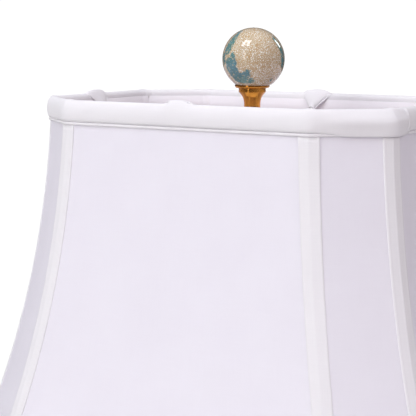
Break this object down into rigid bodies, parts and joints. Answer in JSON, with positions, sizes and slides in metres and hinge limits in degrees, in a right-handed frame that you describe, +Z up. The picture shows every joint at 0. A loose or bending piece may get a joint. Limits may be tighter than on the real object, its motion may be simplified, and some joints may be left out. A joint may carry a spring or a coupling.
{
  "type": "table lamp",
  "caption": "Table lamp with a cut-corner bell shade in pale lined fabric on a spider and harp, a crackle-glazed ball finial, a turned brass foot and a porcelain vase body.",
  "frame": {"origin": "centre of the foot's underside, on the table", "axes": "+Z up, +X along the shade's long side to the right, -Y towards the front panel"},
  "size_m": [0.3784, 0.2488, 0.7086],
  "materials": {
    "brass": "polished",
    "steel": "zinc plated",
    "frame_wire": "satin white",
    "porcelain": "gloss crackle glaze",
    "silk": "fine plain weave, matte",
    "lining": "matte",
    "trim": "folded bias tape",
    "felt": "felt",
    "phenolic": "moulded",
    "fibre": "pressed paper",
    "aluminium": "bright",
    "glass": "inside frosted"
  },
  "bodies": {
    "base": {"felt_pad": "felt", "foot": "brass", "cord_bushing": "phenolic", "threaded_rod": "steel", "rod_washer": "steel", "rod_nut": "steel", "vase": "porcelain", "vase_cap": "brass", "neck_spool": "brass", "harp_saddle": "brass", "socket_cap": "brass", "socket_shell": "brass", "shell_liner": "fibre", "socket_core": "phenolic", "screw_shell": "aluminium"},
    "harp": {"harp_wire": "brass", "harp_top": "brass"},
    "shade": {"top_ring": "frame_wire", "bottom_ring": "frame_wire", "rib_1": "frame_wire", "rib_2": "frame_wire", "rib_3": "frame_wire", "rib_4": "frame_wire", "rib_5": "frame_wire", "rib_6": "frame_wire", "rib_7": "frame_wire", "rib_8": "frame_wire", "spider": "frame_wire", "panel_front": "silk", "panel_right": "silk", "panel_back": "silk", "panel_left": "silk", "corner_panel_front_right": "silk", "corner_panel_back_right": "silk", "corner_panel_back_left": "silk", "corner_panel_front_left": "silk", "lining": "lining", "top_band": "trim", "top_piping": "trim", "bottom_band": "trim", "rib_trim_1": "trim", "rib_trim_2": "trim", "rib_trim_3": "trim", "rib_trim_4": "trim", "rib_trim_5": "trim", "rib_trim_6": "trim", "rib_trim_7": "trim", "rib_trim_8": "trim", "arm_wrap_front": "trim", "arm_wrap_right": "trim", "arm_wrap_back": "trim", "arm_wrap_left": "trim"},
    "finial": {"finial_neck": "brass", "finial_ball": "porcelain"},
    "sleeve_left": {"sleeve_left": "brass"},
    "sleeve_right": {"sleeve_right": "brass"},
    "switch": {"switch_shaft": "brass", "switch_knob": "phenolic"},
    "bulb": {"bulb_screw_cap": "aluminium", "bulb_glass": "glass"}
  },
  "joints": [
    {"name": "harp_lift", "type": "slide", "parent": "base", "child": "harp", "axis": [0, 0, 1], "range_m": [0, 0.03]},
    {"name": "shade_swivel", "type": "hinge", "parent": "harp", "child": "shade", "pos_m": [0, 0, 0.6494], "axis": [0, 0, 1], "continuous": true},
    {"name": "finial_turn", "type": "hinge", "parent": "harp", "child": "finial", "pos_m": [0, 0, 0.6517], "axis": [0, 0, 1], "continuous": true},
    {"name": "sleeve_left_slide", "type": "slide", "parent": "harp", "child": "sleeve_left", "axis": [0, 0, 1], "range_m": [0, 0.012]},
    {"name": "sleeve_right_slide", "type": "slide", "parent": "harp", "child": "sleeve_right", "axis": [0, 0, 1], "range_m": [0, 0.012]},
    {"name": "switch_turn", "type": "hinge", "parent": "base", "child": "switch", "pos_m": [0, -0.03, 0.4435], "axis": [0, -1, 0], "continuous": true},
    {"name": "bulb_turn", "type": "hinge", "parent": "base", "child": "bulb", "pos_m": [0, 0, 0.47], "axis": [0, 0, 1], "continuous": true}
  ]
}
